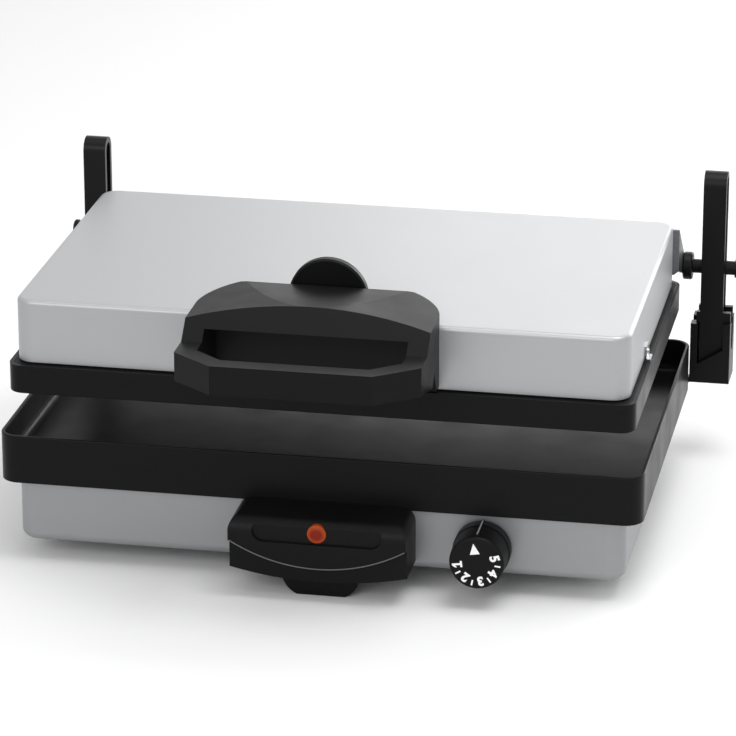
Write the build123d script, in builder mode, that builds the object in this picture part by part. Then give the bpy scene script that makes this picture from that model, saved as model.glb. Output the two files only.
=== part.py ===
from build123d import *
import os

# Contact grill with a floating lid, in millimetres, +Z up, front towards -Y.
# It stands on z = 0, and the origin lies under the middle of its overall box.

os.makedirs("parts", exist_ok=True)

# Lower plate, a deep cast tray
tray_width = 430.0
tray_depth = 271.5
tray_height = 33.0
tray_wall = 2.5
tray_floor = 5.0
tray_sink = 23.0
tray_corner = 13.0
tray_inner_fillet = 5.0
rim_round = 0.8

# Base shell, pressed steel, its bottom cover and feet
shell_bottom = 14.0
shell_side_inset = 11.5
shell_front_inset = 4.0
shell_rear_inset = 16.0
shell_corner = 13.0
shell_bottom_fillet = 6.0
shell_height = 47.6
sheet = 1.2
bottom_lip = 26.0
cover_overlap = 8.0
vent_length = 30.0
vent_width = 4.0
vent_pitch = 9.0
vent_count = 6
foot_diameter = 18.0
foot_round = 1.5

# Lid: ribbed upper plate and its steel cover, as high as the photograph shows it
plate_lift = 29.0
plate_front_gap = 4.2
plate_side_gap = 4.25
plate_rear_gap = 11.0
plate_height = 19.3
plate_wall = 2.5
plate_floor = 4.5
plate_face_sink = 5.0
plate_corner = 10.0
rib_width = 3.0
rib_height = 2.5
rib_pitch = 13.0
rib_margin = 16.0
rib_taper = 12.0
cover_inset = 4.7
cover_lift = 1.4
cover_height = 42.8
cover_corner = 12.0
cover_top_fillet = 3.0

# Slotted arms, their holders and the studs of the lid
arm_gap_right = 12.0
arm_gap_left = 0.5
arm_width = 16.0
arm_leg = 4.0
slot_gap = 10.4
arm_height = 148.5
lug_height = 7.5
lug_outer = 13.5
lug_inner = 10.5
holder_bottom = 58.0
holder_floor = 4.0
holder_height = 43.8
holder_wall = 5.0
holder_clearance = 1.0
holder_front = 4.0
holder_drop_inner = 30.5
holder_drop_outer = 19.0
web_thickness = 5.0
root_drop = 12.0
root_height = 14.0
root_length = 36.0
root_gap = 3.3
root_screw_pitch = 16.0
foot_plate = 4.0
stud_lift = 82.1
bush_clearance = 0.3
running_gap = 0.08
pin_diameter = 6.0
bush_cap_diameter = 13.5
bush_cap_length = 3.0
bush_cap_gap = 1.0
collar_diameter = 19.5
collar_length = 6.5
collar_gap = 0.9
bracket_sheet = 2.0
bracket_width = 26.0
bracket_tab = 12.0
bracket_low = 4.0
bracket_high = 6.0
bracket_screw_drop = 16.0
stud_head = 2.0
stud_chamfer = 0.8

# Lid handle with its hood, and the half round foot behind it
handle_width = 160.0
handle_reach = 86.6
handle_back = 4.0
handle_drop = 41.0
grip_top_drop = 5.0
grip_height = 19.5
grip_depth = 12.5
bevel_length = 27.6
bevel_depth = 21.4
post_width = 13.5
hood_rise = 12.0
hood_front_rise = 16.0
hood_arch = 9.0
hood_over = 35.0
hood_front = 22.7
hood_slope = 22.5
hood_thickness = 5.0
hood_round = 4.0
hood_side = 12.0
hood_corner = 34.0
notch_depth = 9.0
notch_width = 7.0
hand_gap_lip = 1.0
foot_chamfer = 1.2
foot_radius = 26.5
foot_rise = 29.0
lid_foot_thickness = 7.0

# Control moulding under the front of the tray, with lamp, knob and thermostat
moulding_x = 7.0
moulding_width = 118.0
moulding_reach = 37.0
moulding_bottom = 20.0
moulding_belly = 7.0
moulding_top = 58.5
moulding_round = 11.0
moulding_wall = 3.0
moulding_slope = 1.5
nose_step = 4.0
nose_low = 24.0
nose_rise = 17.0
recess_width = 86.0
recess_height = 15.0
recess_depth = 2.0
lens_diameter = 12.5
lens_z = 48.5
lens_dome = 2.0
lens_ledge = 1.0
lamp_length = 20.0
front_foot_width = 52.0
front_foot_sole = 32.0
front_foot_depth = 16.0
front_foot_back = 14.0
front_foot_waist = 4.0
front_foot_bend = 0.35
knob_x = 111.0
knob_z = 33.5
knob_diameter = 38.0
knob_length = 27.0
knob_gap = 2.0
knob_skirt = 8.0
knob_taper = 1.0
pointer_width = 2.4
pointer_height = 1.0
pointer_back = 2.0
knob_round = 1.6
knob_wall = 3.0
spindle_diameter = 6.0
spindle_seat = 16.0
spindle_hole_gap = 1.5
spindle_flat = 1.0
thermostat_width = 34.0
thermostat_height = 18.0
thermostat_flange = 4.0
thermostat_corner = 3.0
thermostat_depth = 18.0

# Heaters, reflectors, leads and fasteners
heater_diameter = 6.5
heater_end_gap = 55.0
heater_side = 95.0
heater_tail = 45.0
reflector_gap = 3.0
reflector_margin = 18.0
clamp_width = 14.0
clamp_length = 30.0
frame_ring = 14.0
clamp_sheet = 1.5
screw_head = 7.5
screw_head_height = 2.2
screw_shank = 3.6
screw_chamfer = 0.7
terminal_width = 34.0
terminal_depth = 16.0
terminal_height = 14.0
terminal_bore = 5.0
gland_diameter = 14.0
gland_bore = 7.5
gland_length = 16.0
gland_flange = 19.0
gland_chamfer = 1.0
clip_width = 11.0
clip_height = 9.0
clip_sheet = 1.6
rivet_diameter = 3.6
rivet_height = 1.0
clip_edge = 0.5
seat_gap = 0.3

# Places worked out from the sizes above
front_overhang = handle_reach - plate_front_gap - cover_inset
arm_depth = slot_gap + 2 * arm_leg
slot_behind = arm_depth / 2 + holder_front + 2 * seat_gap
web_behind = slot_behind + arm_depth / 2 + seat_gap + web_thickness
tray_front = (front_overhang - tray_depth - web_behind) / 2
tray_rear = tray_front + tray_depth
tray_mid = (tray_front + tray_rear) / 2
floor_under = shell_bottom + shell_height
floor_z = floor_under + tray_floor
rim_z = floor_z + tray_sink
tray_bottom = rim_z - tray_height
shell_width = tray_width - 2 * shell_side_inset
shell_front = tray_front + shell_front_inset
shell_rear = tray_rear - shell_rear_inset
shell_depth = shell_rear - shell_front
shell_mid = (shell_front + shell_rear) / 2
plate_width = tray_width - 2 * tray_wall - 2 * plate_side_gap
plate_front = tray_front + plate_front_gap
plate_rear = tray_rear - tray_wall - plate_rear_gap
plate_depth = plate_rear - plate_front
plate_mid = (plate_front + plate_rear) / 2
plate_bottom = rim_z + plate_lift
plate_top = plate_bottom + plate_height
face_z = plate_bottom + plate_face_sink
face_back = face_z + plate_floor
cover_width = plate_width - 2 * cover_inset
cover_depth = plate_depth - 2 * cover_inset
cover_front = plate_front + cover_inset
cover_rear = plate_rear - cover_inset
cover_bottom = plate_top + cover_lift
cover_top = cover_bottom + cover_height
slot_y = tray_rear + slot_behind
arm_right_x = plate_width / 2 + arm_gap_right + arm_width / 2
arm_left_x = plate_width / 2 + arm_gap_left + arm_width / 2
arm_bottom = holder_bottom + holder_floor
arm_top = arm_bottom + arm_height
holder_top = holder_bottom + holder_height
web_rear = tray_rear + web_behind
stud_z = holder_bottom + stud_lift
bush_diameter = slot_gap - 2 * bush_clearance
moulding_front = shell_front - moulding_reach
heater_pitch = shell_depth - 2 * heater_end_gap
pocket_half = arm_width / 2 + holder_clearance
outer_half = pocket_half + holder_wall
frame_shift = (arm_left_x - arm_right_x) / 2


def finish(piece, name):
    """Move a finished piece into the common frame, label it and write it to its own file."""
    piece = Pos(frame_shift, 0, 0) * piece
    piece.label = name
    export_step(piece, f"parts/{name}.step")


def other_side(piece):
    """The same piece on the other side of the middle plane."""
    return mirror(piece, about=Plane.YZ)


def edges_at(part, height, tolerance=0.05):
    """The edges of a part that lie level at one height."""
    return part.edges().filter_by_position(Axis.Z, height - tolerance, height + tolerance)


# Lower plate: the deep tray with its thin rim, flat floor and a skirt below the floor
with BuildPart() as lower_plate:
    with BuildSketch(Plane.XY.offset(tray_bottom)):
        with Locations((0, tray_mid)):
            RectangleRounded(tray_width, tray_depth, tray_corner)
    extrude(amount=tray_height)
    with BuildSketch(Plane.XY.offset(floor_z)):
        with Locations((0, tray_mid)):
            RectangleRounded(
                tray_width - 2 * tray_wall, tray_depth - 2 * tray_wall, tray_corner - tray_wall
            )
    extrude(amount=tray_sink, mode=Mode.SUBTRACT)
    with BuildSketch(Plane.XY.offset(tray_bottom)):
        with Locations((0, tray_mid)):
            RectangleRounded(
                tray_width - 2 * tray_wall, tray_depth - 2 * tray_wall, tray_corner - tray_wall
            )
    extrude(amount=floor_under - tray_bottom, mode=Mode.SUBTRACT)
    fillet(edges_at(lower_plate, floor_z), tray_inner_fillet)
    fillet(edges_at(lower_plate, rim_z), rim_round)
finish(lower_plate.part, "lower_plate")

# Base shell: one pressed sheet with round corners, an inward lip below and holes in front and rear
with BuildPart() as base_shell:
    with BuildSketch(Plane.XY.offset(shell_bottom)):
        with Locations((0, shell_mid)):
            RectangleRounded(shell_width, shell_depth, shell_corner)
    extrude(amount=shell_height)
    fillet(edges_at(base_shell, shell_bottom), shell_bottom_fillet)
    offset(amount=-sheet, openings=base_shell.faces().sort_by(Axis.Z)[-1])
    with BuildSketch(Plane.XY.offset(shell_bottom)):
        with Locations((0, shell_mid)):
            RectangleRounded(
                shell_width - 2 * bottom_lip, shell_depth - 2 * bottom_lip, shell_corner
            )
    extrude(amount=2 * sheet, mode=Mode.SUBTRACT)
    with BuildSketch(Plane.XZ.offset(-shell_front)):
        with Locations((knob_x, knob_z)):
            Circle(spindle_diameter / 2 + spindle_hole_gap)
        with Locations((moulding_x, lens_z)):
            Rectangle(lens_diameter, lens_diameter)
    extrude(amount=-2 * sheet, mode=Mode.SUBTRACT)
    with BuildSketch(Plane.XZ.offset(-shell_rear)):
        with Locations((0, knob_z)):
            Circle(gland_diameter / 2 + seat_gap / 2)
    extrude(amount=2 * sheet, mode=Mode.SUBTRACT)
finish(base_shell.part, "base_shell")

# Bottom cover: a vented sheet lying on the lip inside the shell
cover_z = shell_bottom + sheet
with BuildPart() as bottom_cover:
    with BuildSketch(Plane.XY.offset(cover_z)):
        with Locations((0, shell_mid)):
            RectangleRounded(
                shell_width - 2 * (bottom_lip - cover_overlap),
                shell_depth - 2 * (bottom_lip - cover_overlap),
                shell_corner,
            )
        with Locations((-shell_width / 4, shell_mid), (shell_width / 4, shell_mid)):
            with GridLocations(0, vent_pitch, 1, vent_count):
                SlotOverall(vent_length, vent_width, mode=Mode.SUBTRACT)
    extrude(amount=sheet)
finish(bottom_cover.part, "bottom_cover")

# Rear feet: two rubber buttons under the lip of the shell
rear_foot_x = shell_width / 2 - bottom_lip
rear_foot_y = shell_rear - shell_bottom_fillet - foot_diameter / 2
with BuildPart() as rear_feet:
    with BuildSketch():
        with Locations((-rear_foot_x, rear_foot_y), (rear_foot_x, rear_foot_y)):
            Circle(foot_diameter / 2)
    extrude(amount=shell_bottom)
    fillet(edges_at(rear_feet, 0), foot_round)
finish(rear_feet.part, "rear_feet")


def heater(under_z):
    """A tubular element bent to one long loop that lies against a plate."""
    turn = heater_pitch / 2
    with BuildPart() as element:
        with BuildLine(Plane.XY.offset(under_z)) as path:
            Line((heater_side + heater_tail, shell_mid - turn), (-heater_side, shell_mid - turn))
            ThreePointArc(
                (-heater_side, shell_mid - turn),
                (-heater_side - turn, shell_mid),
                (-heater_side, shell_mid + turn),
            )
            Line((-heater_side, shell_mid + turn), (heater_side + heater_tail, shell_mid + turn))
        with BuildSketch(Plane(origin=path.line @ 0, z_dir=path.line % 0)):
            Circle(heater_diameter / 2)
        sweep()
    return element.part


def reflector(level, edge_down):
    """A shallow steel sheet that throws the heat back at the plate, with a bent edge."""
    around = heater_diameter + 2 * reflector_margin
    width = 2 * heater_side + heater_pitch + around
    depth = heater_pitch + around
    rise = (heater_diameter + reflector_gap) * (1 if edge_down else -1)
    with BuildPart() as screen:
        with BuildSketch(Plane.XY.offset(level)):
            with Locations((0, shell_mid)):
                RectangleRounded(width, depth, shell_corner)
        extrude(amount=sheet * (1 if edge_down else -1))
        with BuildSketch(Plane.XY.offset(level)):
            with Locations((0, shell_mid)):
                RectangleRounded(width, depth, shell_corner)
                RectangleRounded(
                    width - 2 * sheet, depth - 2 * sheet, shell_corner - sheet, mode=Mode.SUBTRACT
                )
        extrude(amount=rise)
    return screen.part


def clamps(level, away):
    """Four strips with a screw post each that press the element to its plate and hold the screen."""
    post_length = screw_head_height + reflector_gap - sheet
    with BuildPart() as strips:
        with BuildSketch(Plane.XY.offset(level)):
            with Locations((0, shell_mid)):
                with GridLocations(heater_side, heater_pitch, 2, 2):
                    SlotOverall(clamp_length, clamp_width, rotation=90)
        extrude(amount=away * clamp_sheet)
        with BuildSketch(Plane.XY.offset(level + away * clamp_sheet)):
            with Locations((0, shell_mid + clamp_length / 3)):
                with GridLocations(heater_side, heater_pitch, 2, 2):
                    Circle(screw_head / 2)
        extrude(amount=away * post_length)
        with BuildSketch(Plane.XY.offset(level)):
            with Locations((0, shell_mid + clamp_length / 3)):
                with GridLocations(heater_side, heater_pitch, 2, 2):
                    Circle(screw_shank / 2)
        extrude(amount=-away * heater_diameter)
    return strips.part


# Lower heating: element, clamps and reflector
finish(heater(floor_under - heater_diameter / 2), "lower_heater")
lower_screen_z = floor_under - heater_diameter - clamp_sheet - screw_head_height - reflector_gap
finish(clamps(floor_under - heater_diameter, -1), "lower_heater_clamps")
with BuildPart() as lower_reflector:
    add(reflector(lower_screen_z, True))
    split(bisect_by=Plane.XY.offset(floor_under), keep=Keep.BOTTOM)
finish(lower_reflector.part, "lower_reflector")

# Thermostat body behind the front wall, with a mounting flange
with BuildPart() as thermostat_body:
    with BuildSketch(Plane.XZ.offset(-shell_front - sheet)):
        with Locations((knob_x, knob_z)):
            Rectangle(thermostat_width, thermostat_height)
            Circle(spindle_diameter / 2 + seat_gap, mode=Mode.SUBTRACT)
    extrude(amount=-sheet)
    with BuildSketch(Plane.XZ.offset(-shell_front - 2 * sheet)):
        with Locations((knob_x, knob_z)):
            RectangleRounded(
                thermostat_width - 2 * thermostat_flange, thermostat_height, thermostat_corner
            )
            Circle(spindle_diameter / 2 + seat_gap, mode=Mode.SUBTRACT)
    extrude(amount=-thermostat_depth)
finish(thermostat_body.part, "thermostat_body")

# Spindle: a round shaft with a flat, through the front wall into the knob
spindle_front = shell_front - knob_gap - spindle_seat
with BuildPart() as thermostat_spindle:
    with BuildSketch(Plane.XZ.offset(-spindle_front)):
        with Locations((knob_x, knob_z)):
            Circle(spindle_diameter / 2)
    extrude(amount=-(spindle_seat + knob_gap + thermostat_depth))
    with BuildSketch(Plane.XZ.offset(-spindle_front)):
        with Locations((knob_x, knob_z + spindle_diameter / 2)):
            Rectangle(spindle_diameter, 2 * spindle_flat)
    extrude(amount=-spindle_seat, mode=Mode.SUBTRACT)
finish(thermostat_spindle.part, "thermostat_spindle")

# Knob: a tapered cap over a wider skirt, with a raised pointer rib on its side
knob_front = shell_front - knob_gap - knob_length
with BuildPart() as knob:
    with BuildSketch(Plane.YZ.offset(knob_x)) as knob_half:
        with BuildLine():
            Polyline(
                (shell_front - knob_gap, knob_z),
                (shell_front - knob_gap, knob_z + knob_diameter / 2),
                (shell_front - knob_gap - knob_skirt, knob_z + knob_diameter / 2),
                (shell_front - knob_gap - knob_skirt, knob_z + knob_diameter / 2 - knob_taper / 2),
                (knob_front, knob_z + knob_diameter / 2 - knob_taper),
                (knob_front, knob_z),
                close=True,
            )
        make_face()
    revolve(axis=Axis((knob_x, 0, knob_z), (0, 1, 0)))
    front_ring = knob.edges().filter_by(GeomType.CIRCLE).sort_by(Axis.Y)[0]
    fillet(front_ring, knob_round)
    with BuildSketch(Plane.XZ.offset(-knob_front - pointer_back)):
        with Locations((knob_x, knob_z + knob_diameter / 2 - knob_taper)):
            Rectangle(pointer_width, 2 * pointer_height + knob_taper)
    extrude(amount=-(knob_length - pointer_back))
    with BuildSketch(Plane.XZ.offset(-shell_front + knob_gap)):
        with Locations((knob_x, knob_z)):
            Circle(spindle_diameter / 2 + running_gap)
    extrude(amount=spindle_seat, mode=Mode.SUBTRACT)
    with BuildSketch(Plane.XZ.offset(-shell_front + knob_gap)):
        with Locations((knob_x, knob_z)):
            Circle(knob_diameter / 2 - knob_wall)
            Circle(spindle_diameter / 2 + knob_wall, mode=Mode.SUBTRACT)
    extrude(amount=spindle_seat, mode=Mode.SUBTRACT)
finish(knob.part, "knob")

# Control moulding: a round nosed housing below the front of the tray
nose_y = moulding_front
top_y = tray_front - seat_gap
with BuildPart() as lower_handle:
    with BuildSketch(Plane.YZ) as side_view:
        with BuildLine():
            back_low = (shell_front, moulding_bottom - moulding_belly)
            back_high = (shell_front, tray_bottom - seat_gap)
            step_low = (top_y, tray_bottom - seat_gap)
            step_high = (top_y, moulding_top)
            nose_top = (nose_y + moulding_round, moulding_top - moulding_slope)
            nose_side = (nose_y, moulding_top - moulding_slope - moulding_round)
            front_low = (nose_y + moulding_slope, moulding_bottom - moulding_belly)
            Polyline(front_low, back_low, back_high, step_low, step_high, nose_top)
            RadiusArc(nose_top, nose_side, -moulding_round)
            Line(nose_side, front_low)
        make_face()
    extrude(amount=moulding_width / 2, both=True)
    half = moulding_width / 2
    with BuildSketch(Plane.XZ) as front_view:
        with BuildLine():
            Line((-half, moulding_bottom), (-half, moulding_top - moulding_round))
            RadiusArc(
                (-half, moulding_top - moulding_round), (moulding_round - half, moulding_top),
                moulding_round,
            )
            Line((moulding_round - half, moulding_top), (half - moulding_round, moulding_top))
            RadiusArc(
                (half - moulding_round, moulding_top), (half, moulding_top - moulding_round),
                moulding_round,
            )
            Line((half, moulding_top - moulding_round), (half, moulding_bottom))
            ThreePointArc(
                (half, moulding_bottom), (0, moulding_bottom - moulding_belly),
                (-half, moulding_bottom),
            )
        make_face()
    extrude(amount=tray_depth, both=True, mode=Mode.INTERSECT)
    with BuildSketch(Plane.XZ.offset(-nose_y)) as below_nose:
        with BuildLine():
            ThreePointArc(
                (-half - 1, nose_low + nose_rise), (0, nose_low), (half + 1, nose_low + nose_rise)
            )
            Polyline(
                (half + 1, nose_low + nose_rise), (half + 1, 0), (-half - 1, 0),
                (-half - 1, nose_low + nose_rise),
            )
        make_face()
    extrude(amount=-nose_step - moulding_slope, mode=Mode.SUBTRACT)
    with BuildSketch(Plane.XZ.offset(-nose_y)):
        with Locations((0, lens_z)):
            SlotOverall(recess_width, recess_height)
    extrude(amount=-recess_depth, mode=Mode.SUBTRACT)
    with BuildSketch(Plane.XZ.offset(-nose_y)):
        with Locations((0, lens_z)):
            Circle(lens_diameter / 2 - lens_ledge)
    extrude(amount=-moulding_reach, mode=Mode.SUBTRACT)
    with BuildSketch(Plane.XZ.offset(-nose_y - recess_depth)):
        with Locations((0, lens_z)):
            Circle(lens_diameter / 2 + running_gap)
    extrude(amount=-moulding_wall, mode=Mode.SUBTRACT)
finish(Pos(moulding_x, 0, 0) * lower_handle.part, "lower_handle")

# Pilot lens: a domed jewel in the recess, with its lamp behind it
lens_back = nose_y + recess_depth + moulding_wall
lens_curve = ((lens_diameter / 2) ** 2 + lens_dome**2) / (2 * lens_dome)
with BuildPart() as pilot_lens:
    with BuildSketch(Plane.YZ.offset(moulding_x)):
        with BuildLine():
            Line((lens_back, lens_z), (lens_back, lens_z + lens_diameter / 2))
            Line(
                (lens_back, lens_z + lens_diameter / 2),
                (nose_y + lens_dome / 2, lens_z + lens_diameter / 2),
            )
            RadiusArc(
                (nose_y + lens_dome / 2, lens_z + lens_diameter / 2),
                (nose_y - lens_dome / 2, lens_z),
                -lens_curve,
            )
            Line((nose_y - lens_dome / 2, lens_z), (lens_back, lens_z))
        make_face()
    revolve(axis=Axis((moulding_x, 0, lens_z), (0, 1, 0)))
finish(pilot_lens.part, "pilot_lens")
with BuildPart() as pilot_lamp:
    with BuildSketch(Plane.XZ.offset(-lens_back)):
        with Locations((moulding_x, lens_z)):
            Circle(lens_diameter / 2 - lens_ledge - seat_gap)
    extrude(amount=-lamp_length)
    fillet(pilot_lamp.edges().filter_by(GeomType.CIRCLE).sort_by(Axis.Y)[-1], lens_dome)
finish(pilot_lamp.part, "pilot_lamp")

# Front foot: a rounded block below the moulding
with BuildPart() as front_foot:
    foot_top = moulding_bottom - moulding_belly
    with BuildSketch(Plane.XZ.offset(-(nose_y + front_foot_back))):
        with BuildLine():
            Line((-front_foot_sole / 2, 0), (front_foot_sole / 2, 0))
            ThreePointArc(
                (front_foot_sole / 2, 0),
                (front_foot_width / 2 - front_foot_waist, foot_top * front_foot_bend),
                (front_foot_width / 2, foot_top),
            )
            Line((front_foot_width / 2, foot_top), (-front_foot_width / 2, foot_top))
            ThreePointArc(
                (-front_foot_width / 2, foot_top),
                (front_foot_waist - front_foot_width / 2, foot_top * front_foot_bend),
                (-front_foot_sole / 2, 0),
            )
        make_face()
    extrude(amount=-front_foot_depth)
finish(Pos(moulding_x, 0, 0) * front_foot.part, "front_foot")

# Hinge holder: a pocket for the arm, carried by a web behind the tray and a foot on the shell
pocket_front = slot_y - arm_depth / 2 - seat_gap
web_front = web_rear - web_thickness
root_top = tray_bottom - root_gap
root_x = shell_width / 2 - shell_corner + web_thickness - root_length


def holder_at(arm_x):
    """One holder for an arm at a distance from the middle."""
    with BuildPart() as holder:
        with BuildSketch(Plane.XZ.offset(-web_front)):
            with BuildLine():
                Polyline(
                    (arm_x + outer_half, holder_bottom),
                    (arm_x + outer_half, holder_top),
                    (arm_x - outer_half, holder_top),
                    (arm_x - outer_half, root_top),
                    (root_x, root_top),
                    (root_x, root_top - root_height),
                    (arm_x - outer_half - root_drop, root_top - root_height),
                    (arm_x - outer_half + root_drop / 2, holder_bottom),
                    close=True,
                )
            make_face()
        extrude(amount=-web_thickness)
        with BuildSketch(Plane.XY.offset(holder_bottom)):
            with Locations((arm_x, (pocket_front - holder_front + web_front) / 2)):
                Rectangle(2 * outer_half, web_front - pocket_front + holder_front)
        extrude(amount=holder_height)
        with BuildSketch(Plane.XY.offset(arm_bottom - seat_gap)):
            with Locations((arm_x, (pocket_front + web_front) / 2)):
                Rectangle(2 * pocket_half, web_front - pocket_front)
        extrude(amount=holder_height, mode=Mode.SUBTRACT)
        with BuildSketch(Plane.XZ.offset(-(pocket_front - holder_front))):
            with BuildLine():
                Polyline(
                    (arm_x - pocket_half, holder_top - holder_drop_inner),
                    (arm_x + pocket_half, holder_top - holder_drop_outer),
                    (arm_x + pocket_half, holder_top),
                    (arm_x - pocket_half, holder_top),
                    close=True,
                )
            make_face()
        extrude(amount=-(holder_front + seat_gap), mode=Mode.SUBTRACT)
        with BuildSketch(Plane.YZ.offset(arm_x - outer_half)):
            with Locations((slot_y, holder_top)):
                SlotOverall(holder_height, slot_gap, rotation=90)
        extrude(amount=2 * outer_half, mode=Mode.SUBTRACT)
        with BuildSketch(Plane.XZ.offset(-shell_rear)):
            with BuildLine():
                Polyline(
                    (root_x, root_top),
                    (root_x + root_length - web_thickness, root_top),
                    (root_x + root_length - web_thickness, root_top - 2 * root_height),
                    (root_x, root_top - 2 * root_height),
                    close=True,
                )
            make_face()
        extrude(amount=-foot_plate)
        with BuildSketch(Plane.XY.offset(root_top)):
            with Locations((root_x, shell_rear)):
                Rectangle(
                    root_length - web_thickness, web_front - shell_rear, align=(Align.MIN, Align.MIN)
                )
        extrude(amount=-foot_plate)
    return holder.part


finish(holder_at(arm_right_x), "hinge_holder_right")
finish(other_side(holder_at(arm_left_x)), "hinge_holder_left")

# Arm: a hairpin loop whose long slot guides the stud, with lugs that sit on the holder
def arm_at(arm_x):
    """One hairpin arm at a distance from the middle."""
    with BuildPart() as arm:
        with BuildSketch(Plane.YZ.offset(arm_x - arm_width / 2)):
            with Locations((slot_y, arm_bottom)):
                Rectangle(arm_depth, arm_height - arm_depth / 2, align=(Align.CENTER, Align.MIN))
            with Locations((slot_y, arm_top - arm_depth / 2)):
                Circle(arm_depth / 2)
            with Locations((slot_y, arm_bottom + arm_leg)):
                Rectangle(
                    slot_gap, arm_height - arm_leg - arm_depth / 2, align=(Align.CENTER, Align.MIN),
                    mode=Mode.SUBTRACT,
                )
            with Locations((slot_y, arm_top - arm_depth / 2)):
                Circle(slot_gap / 2, mode=Mode.SUBTRACT)
        extrude(amount=arm_width)
        with BuildSketch(Plane.XY.offset(holder_top)):
            for leg_y in (slot_y - arm_depth / 2, slot_y + arm_depth / 2 - arm_leg):
                with Locations((arm_x, leg_y)):
                    Rectangle(lug_inner, arm_leg, align=(Align.MAX, Align.MIN))
                    Rectangle(lug_outer, arm_leg, align=(Align.MIN, Align.MIN))
        extrude(amount=lug_height)
    return arm.part


finish(arm_at(arm_right_x), "arm_right")
finish(other_side(arm_at(arm_left_x)), "arm_left")

# Holder screws: two for each holder, into the rear wall of the shell
with BuildPart() as holder_screws:
    screw_x = root_x + (root_length - web_thickness) / 2
    screw_z = root_top - foot_plate - screw_head
    with BuildSketch(Plane.XZ.offset(-(shell_rear + foot_plate))):
        for side in (-1, 1):
            with Locations((side * screw_x, screw_z)):
                with GridLocations(root_screw_pitch, 0, 2, 1):
                    Circle(screw_head / 2)
    extrude(amount=-screw_head_height)
    chamfer(holder_screws.edges().filter_by(GeomType.CIRCLE).group_by(Axis.Y)[-1], screw_chamfer)
finish(holder_screws.part, "holder_screws")

# Mains gland in the rear wall, terminal block on the bottom cover
with BuildPart() as mains_gland:
    with BuildSketch(Plane.XZ.offset(-shell_rear)):
        with Locations((0, knob_z)):
            Circle(gland_flange / 2)
            Circle(gland_bore / 2, mode=Mode.SUBTRACT)
    extrude(amount=-gland_length / 4)
    with BuildSketch(Plane.XZ.offset(-shell_rear)):
        with Locations((0, knob_z)):
            Circle(gland_diameter / 2)
            Circle(gland_bore / 2, mode=Mode.SUBTRACT)
    extrude(amount=-gland_length)
    with BuildSketch(Plane.XZ.offset(-shell_rear)):
        with Locations((0, knob_z)):
            Circle(gland_diameter / 2)
            Circle(gland_bore / 2, mode=Mode.SUBTRACT)
    extrude(amount=gland_length / 4)
    chamfer(mains_gland.edges().filter_by(GeomType.CIRCLE).group_by(Axis.Y)[-1][0], gland_chamfer)
finish(mains_gland.part, "mains_gland")
with BuildPart() as terminal_block:
    block_y = shell_rear - 3 * terminal_depth
    with BuildSketch(Plane.XY.offset(cover_z + sheet)):
        with Locations((0, block_y)):
            Rectangle(terminal_width, terminal_depth)
    extrude(amount=terminal_height)
    with BuildSketch(Plane.XZ.offset(-(block_y - terminal_depth / 2))):
        with Locations((0, cover_z + sheet + terminal_height / 2)):
            with GridLocations(terminal_width / 3, 0, 3, 1):
                Circle(terminal_bore / 2)
    extrude(amount=-terminal_depth, mode=Mode.SUBTRACT)
finish(terminal_block.part, "terminal_block")

# Bottom screws that hold the cover to the lip
with BuildPart() as bottom_screws:
    screw_grid_x = shell_width - 2 * bottom_lip + cover_overlap
    screw_grid_y = shell_depth - 2 * bottom_lip + cover_overlap
    with BuildSketch(Plane.XY.offset(shell_bottom)):
        with Locations((0, shell_mid)):
            with GridLocations(screw_grid_x, screw_grid_y / 2, 2, 2):
                Circle(screw_head / 2)
    extrude(amount=-screw_head_height)
    chamfer(edges_at(bottom_screws, shell_bottom - screw_head_height), screw_chamfer)
finish(bottom_screws.part, "bottom_screws")

# Upper plate: the cast plate of the lid, its ribbed face down
with BuildPart() as upper_plate:
    with BuildSketch(Plane.XY.offset(plate_bottom)):
        with Locations((0, plate_mid)):
            RectangleRounded(plate_width, plate_depth, plate_corner)
    extrude(amount=plate_height)
    with BuildSketch(Plane.XY.offset(plate_bottom)):
        with Locations((0, plate_mid)):
            RectangleRounded(
                plate_width - 2 * plate_wall, plate_depth - 2 * plate_wall,
                plate_corner - plate_wall,
            )
    extrude(amount=plate_face_sink, mode=Mode.SUBTRACT)
    with BuildSketch(Plane.XY.offset(face_back)):
        with Locations((0, plate_mid)):
            RectangleRounded(
                plate_width - 2 * plate_wall, plate_depth - 2 * plate_wall,
                plate_corner - plate_wall,
            )
    extrude(amount=plate_height, mode=Mode.SUBTRACT)
    fillet(edges_at(upper_plate, plate_bottom), rim_round)
    rib_count = int((plate_width - 2 * rib_margin) / rib_pitch) + 1
    with BuildSketch(Plane.XY.offset(face_z)):
        with Locations((0, plate_mid)):
            with GridLocations(rib_pitch, 0, rib_count, 1):
                Rectangle(rib_width, plate_depth - 2 * rib_margin)
    extrude(amount=-rib_height, taper=rib_taper)
finish(upper_plate.part, "upper_plate")

# Lid cover: pressed steel with soft top edges, open below
with BuildPart() as lid_cover:
    with BuildSketch(Plane.XY.offset(cover_bottom)):
        with Locations((0, plate_mid)):
            RectangleRounded(cover_width, cover_depth, cover_corner)
    extrude(amount=cover_height)
    fillet(edges_at(lid_cover, cover_top), cover_top_fillet)
    offset(amount=-sheet, openings=lid_cover.faces().sort_by(Axis.Z)[0])
    with BuildSketch(Plane.XZ.offset(-cover_rear)):
        with Locations((0, cover_bottom + cover_height / 2)):
            Circle(gland_diameter / 2 + seat_gap / 2)
    extrude(amount=2 * sheet, mode=Mode.SUBTRACT)
finish(lid_cover.part, "lid_cover")

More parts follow.
